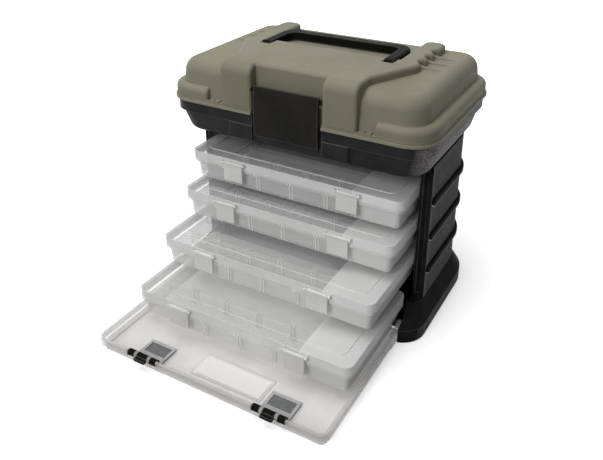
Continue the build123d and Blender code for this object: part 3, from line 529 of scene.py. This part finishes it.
def paint():
    """Gives each CAD node the look of its material slot."""
    slots = {part["node"]: part["material_slot"] for part in frame["record"]["subparts"]}
    looks = {
        "olive": olive(),
        "graphite": graphite("graphite_wall", wall_side_sheen_dark, wall_side_sheen_light, wall_sheen, ribbed=True),
        "black": black("black_satin", black_dark, black_light, satin_sheen),
        "steel": steel(),
        "frosted_clear": frosted("frosted_clear", frost_dark, frost_light, *tray_cover,
                                 slots=True, pile_painted_light=pile_front_painted_light),
        "divider_white": frosted("divider_white", divider_dark, divider_light, *divider_cover),
        "clear_door": frosted("clear_door", door_dark, door_light, *door_cover, window_highlight=True),
        "grey_pad": pads(),
    }
    special = {
        "base": graphite("graphite_foot", foot_side_sheen_dark, foot_side_sheen_light, foot_sheen, foot_facing),
        "front_latch": black("black_latch", latch_dark, latch_light, latch_sheen),
        "top_tray": graphite("graphite_tray", tray_side_sheen_dark, tray_side_sheen_light, tray_sheen),
    }
    latch = frosted("frosted_latch", divider_dark, divider_light, *latch_cover)
    cap = frosted("frosted_cap", frost_dark, frost_light, *cap_cover, pile_painted_light=pile_top_painted_light)
    for box in range(1, box_count + 1):
        special[f"box_{box}_lid"] = cap
        for side in ("left", "right"):
            special[f"box_{box}_latch_{side}"] = latch
    for node, piece in frame["nodes"].items():
        piece.data.materials.clear()
        piece.data.materials.append(special.get(node, looks[slots[node]]))


def row_stretches():
    """The row wall from left to right, stretch by stretch: both ends in X, half the thickness, the top."""
    stretches = []
    start = row_ends[0]
    for slot in range(slot_count):
        middle = slot_last + slot * slot_pitch
        for rib in ((middle - slot_outer, middle - slot_inner), (middle + slot_inner, middle + slot_outer)):
            stretches.append((start, rib[0], row_half, row_top))
            stretches.append((*rib, post_half, post_top))
            start = rib[1]
    stretches.append((start, row_ends[1], row_half, row_top))
    return stretches


def foot_points(x, half, beside):
    """Lower points across one end of a stretch, also those of a thinner stretch beside it."""
    inner = min(half, beside)
    return [(x, y, row_foot) for y in sorted({half, inner, -inner, -half})]


def row_shell(corner):
    """Points and faces of one closed shell round all the stretches of a row wall."""
    points = {}
    faces = []

    def add(corners):
        places = [(x, corner.y + row_place + y, corner.z + z) for x, y, z in corners]
        faces.append([points.setdefault(place, len(points)) for place in places])

    stretches = row_stretches()
    for at, (x0, x1, half, top) in enumerate(stretches):
        before = stretches[at - 1][2] if at else half
        after = stretches[at + 1][2] if at + 1 < len(stretches) else half
        add(foot_points(x0, half, before) + foot_points(x1, half, after)[::-1])
        add([(x0, -half, top), (x1, -half, top), (x1, half, top), (x0, half, top)])
        for y in (-half, half):
            add([(x0, y, row_foot), (x1, y, row_foot), (x1, y, top), (x0, y, top)])
    for left, right in zip(stretches, stretches[1:]):
        x = left[1]
        thin, thick = sorted((left[2:], right[2:]))
        outline = [(-thick[0], row_foot), (-thick[0], thick[1]), (thick[0], thick[1]), (thick[0], row_foot),
                   (thin[0], row_foot), (thin[0], thin[1]), (-thin[0], thin[1]), (-thin[0], row_foot)]
        add([(x, y, z) for y, z in outline])
    cap = [(-row_half, row_foot), (row_half, row_foot), (row_half, row_top), (-row_half, row_top)]
    for x in row_ends:
        add([(x, y, z) for y, z in cap])
    return list(points), faces


def row_wall(box, look):
    """A thin wall along a box, behind its front row, with a pair of ribs at each divider slot."""
    points, faces = row_shell(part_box(f"box_{box}_tray")[0])
    mesh = bpy.data.meshes.new(f"box_{box}_row_wall")
    mesh.from_pydata(points, [], faces)
    shaped = bmesh.new()
    shaped.from_mesh(mesh)
    bmesh.ops.recalc_face_normals(shaped, faces=shaped.faces)
    shaped.to_mesh(mesh)
    shaped.free()
    mesh.materials.append(look)
    wall = bpy.data.objects.new(mesh.name, mesh)
    bpy.context.scene.collection.objects.link(wall)
    rounded = wall.modifiers.new("rounded", "BEVEL")
    rounded.width = post_round
    rounded.segments = post_segments
    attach(wall, f"box_{box}")


def aimed(place, target):
    return (Vector(target) - Vector(place)).to_track_quat("-Z", "Y").to_euler()


def lamp(name, place, size, power, mirrored=True):
    data = bpy.data.lights.new(name, "AREA")
    data.shape = "DISK"
    data.size = size
    data.energy = power
    made = bpy.data.objects.new(name, data)
    made.location = place
    made.rotation_euler = aimed(place, aim_point)
    made.visible_glossy = mirrored
    bpy.context.scene.collection.objects.link(made)


def seen_rays(tree):
    """1 for the rays that show the background: camera, mirror and glass rays."""
    path = tree.nodes.new("ShaderNodeLightPath")
    total = path.outputs["Is Camera Ray"]
    for name in ("Is Glossy Ray", "Is Transmission Ray"):
        add = tree.nodes.new("ShaderNodeMath")
        add.operation = "MAXIMUM"
        tree.links.new(total, add.inputs[0])
        tree.links.new(path.outputs[name], add.inputs[1])
        total = add.outputs["Value"]
    return total


def surroundings():
    world = bpy.data.worlds.new("studio")
    world.use_nodes = True
    tree = world.node_tree
    seen = tree.nodes["Background"]
    seen.inputs["Color"].default_value = (1.0, 1.0, 1.0, 1.0)
    seen.inputs["Strength"].default_value = 1.0
    lit = tree.nodes.new("ShaderNodeBackground")
    lit.inputs["Color"].default_value = (1.0, 1.0, 1.0, 1.0)
    lit.inputs["Strength"].default_value = ambient_level
    mix = tree.nodes.new("ShaderNodeMixShader")
    tree.links.new(seen_rays(tree), mix.inputs["Fac"])
    tree.links.new(lit.outputs["Background"], mix.inputs[1])
    tree.links.new(seen.outputs["Background"], mix.inputs[2])
    tree.links.new(mix.outputs["Shader"], tree.nodes["World Output"].inputs["Surface"])
    bpy.context.scene.world = world


def studio_floor():
    """A white floor that keeps the shadow of the box."""
    mesh = bpy.data.meshes.new("studio_floor")
    corners = [(x * floor_half, y * floor_half, -floor_drop) for x, y in ((-1, -1), (1, -1), (1, 1), (-1, 1))]
    mesh.from_pydata(corners, [], [(0, 1, 2, 3)])
    floor = bpy.data.objects.new("studio_floor", mesh)
    bpy.context.scene.collection.objects.link(floor)
    material = bpy.data.materials.new("studio_white")
    material.use_nodes = True
    tree = material.node_tree
    tree.nodes.remove(tree.nodes["Principled BSDF"])
    seen = tree.nodes.new("ShaderNodeBsdfDiffuse")
    seen.inputs["Color"].default_value = (floor_seen, floor_seen, floor_seen, 1.0)
    bounce = tree.nodes.new("ShaderNodeBsdfDiffuse")
    bounce.inputs["Color"].default_value = (floor_bounce, floor_bounce, floor_bounce, 1.0)
    glow = tree.nodes.new("ShaderNodeEmission")
    length = tree.nodes.new("ShaderNodeVectorMath")
    length.operation = "LENGTH"
    tree.links.new(tree.nodes.new("ShaderNodeTexCoord").outputs["Object"], length.inputs[0])
    spread = tree.nodes.new("ShaderNodeMapRange")
    for name, number in zip(("From Min", "From Max", "To Min", "To Max"), (*glow_reach, floor_glow, 1.0)):
        spread.inputs[name].default_value = number
    tree.links.new(length.outputs["Value"], spread.inputs["Value"])
    tree.links.new(spread.outputs["Result"], glow.inputs["Strength"])
    both = tree.nodes.new("ShaderNodeAddShader")
    tree.links.new(seen.outputs["BSDF"], both.inputs[0])
    tree.links.new(glow.outputs["Emission"], both.inputs[1])
    mix = tree.nodes.new("ShaderNodeMixShader")
    tree.links.new(seen_rays(tree), mix.inputs["Fac"])
    tree.links.new(bounce.outputs["BSDF"], mix.inputs[1])
    tree.links.new(both.outputs["Shader"], mix.inputs[2])
    tree.links.new(mix.outputs["Shader"], tree.nodes["Material Output"].inputs["Surface"])
    mesh.materials.append(material)


def camera():
    data = bpy.data.cameras.new("photo_camera")
    data.sensor_fit = "HORIZONTAL"
    data.sensor_width = sensor
    data.lens = focal_pixels * sensor / image_width
    data.shift_x = (image_width / 2 - axis_pixel[0]) / image_width
    data.shift_y = (axis_pixel[1] - image_height / 2) / image_width
    made = bpy.data.objects.new("photo_camera", data)
    made.location = camera_place
    level = math.cos(camera_elevation)
    back = Vector((math.sin(camera_azimuth) * level, -math.cos(camera_azimuth) * level,
                   math.sin(camera_elevation)))
    made.rotation_euler = (-back).to_track_quat("-Z", "Y").to_euler()
    bpy.context.scene.collection.objects.link(made)
    bpy.context.scene.camera = made


paint()
row_look = frosted("frosted_row", frost_dark, frost_light, *row_cover, posts=True)
for box in range(1, box_count + 1):
    row_wall(box, row_look)
surroundings()
studio_floor()
lamp("top", top_place, top_size, top_power)
lamp("key", key_place, key_size, key_power)
lamp("back", back_place, back_size, back_power, mirrored=False)
camera()
scene = bpy.context.scene
scene.view_settings.view_transform = "Standard"
scene.cycles.transparent_max_bounces = clear_bounces
